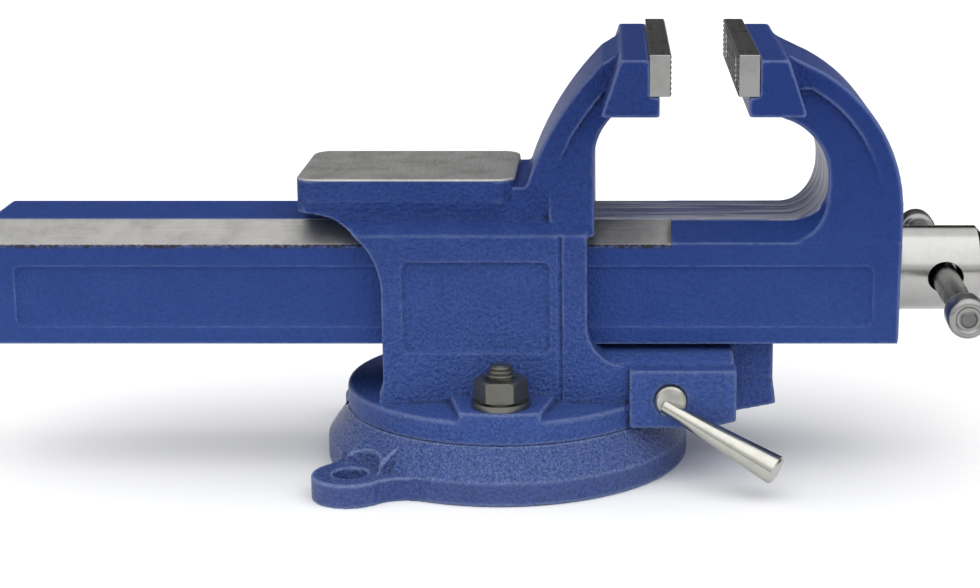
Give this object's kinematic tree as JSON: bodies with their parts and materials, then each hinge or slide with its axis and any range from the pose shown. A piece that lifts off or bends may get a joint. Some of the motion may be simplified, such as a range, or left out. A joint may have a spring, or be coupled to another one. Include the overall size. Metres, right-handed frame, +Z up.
{
  "type": "quick-release bench vise",
  "caption": "Cast bench vise on a swivel base, with an anvil, bolted serrated jaw plates, a screw with a sliding bar handle and a side lever that lowers the half nut for quick sliding.",
  "frame": {"origin": "on the swivel axis, at the bench face of the base", "axes": "+X along the slide towards the handle, +Y across the jaws away from the lever, +Z up"},
  "size_m": [0.5156, 0.1964, 0.223],
  "materials": {
    "body_paint": "glossy blue enamel on cast iron, machined bare on the anvil face and the slide's guides",
    "jaw_steel": "ground hardened steel",
    "turned_steel": "satin turned",
    "spring_steel": "drawn",
    "nut_iron": "machined",
    "black_oxide": "oiled black oxide"
  },
  "bodies": {
    "base": {"swivel_base": "body_paint"},
    "body": {"fixed_body": "body_paint", "lock_bolts": "black_oxide", "lock_washers": "black_oxide", "fixed_jaw_plate": "jaw_steel", "fixed_jaw_screws": "black_oxide", "half_nut_spring": "spring_steel", "shaft_circlip": "black_oxide"},
    "front_nut": {"front_lock_nut": "black_oxide"},
    "back_nut": {"back_lock_nut": "black_oxide"},
    "half_nut": {"half_nut": "nut_iron"},
    "release_lever": {"lever_shaft": "turned_steel", "lever_arm": "turned_steel"},
    "slide": {"moving_jaw": "body_paint", "moving_jaw_plate": "jaw_steel", "moving_jaw_screws": "black_oxide"},
    "screw": {"main_screw": "turned_steel", "thrust_washer": "turned_steel", "retaining_collar": "turned_steel", "collar_pin": "spring_steel"},
    "handle": {"handle_bar": "turned_steel", "handle_knob_near": "turned_steel", "handle_knob_far": "turned_steel"}
  },
  "joints": [
    {"name": "swivel", "type": "hinge", "parent": "base", "child": "body", "pos_m": [0, 0, 0.0283], "axis": [0, 0, 1], "continuous": true},
    {"name": "jaw_slide", "type": "slide", "parent": "body", "child": "slide", "axis": [1, 0, 0], "range_m": [-0.0316, 0.1501]},
    {"name": "screw_turn", "type": "hinge", "parent": "slide", "child": "screw", "pos_m": [0.2, 0, 0.1004], "axis": [1, 0, 0], "range_deg": [-1890, 9000]},
    {"name": "handle_slide", "type": "slide", "parent": "screw", "child": "handle", "axis": [0, 0.9997, 0.0262], "range_m": [-0.058, 0.058]},
    {"name": "lever_turn", "type": "hinge", "parent": "body", "child": "release_lever", "pos_m": [0.0858, 0, 0.0446], "axis": [0, -1, 0], "range_deg": [0, 50], "stiffness_Nm_per_rad": 0.6, "springref_deg": -28.65},
    {"name": "half_nut_drop", "type": "slide", "parent": "body", "child": "half_nut", "axis": [0, 0, 1], "range_m": [-0.0043, 0], "deforming": ["half_nut_spring"]},
    {"name": "front_nut_turn", "type": "hinge", "parent": "body", "child": "front_nut", "pos_m": [0, -0.069, 0.054], "axis": [0, 0, 1], "range_deg": [0, 180]},
    {"name": "back_nut_turn", "type": "hinge", "parent": "body", "child": "back_nut", "pos_m": [0, 0.069, 0.054], "axis": [0, 0, 1], "range_deg": [0, 180]}
  ],
  "couplings": [
    {"joint": "jaw_slide", "follows": "screw_turn", "m_per_rad": 0.00095493},
    {"joint": "half_nut_drop", "follows": "lever_turn", "m_per_rad": -0.0048427}
  ]
}
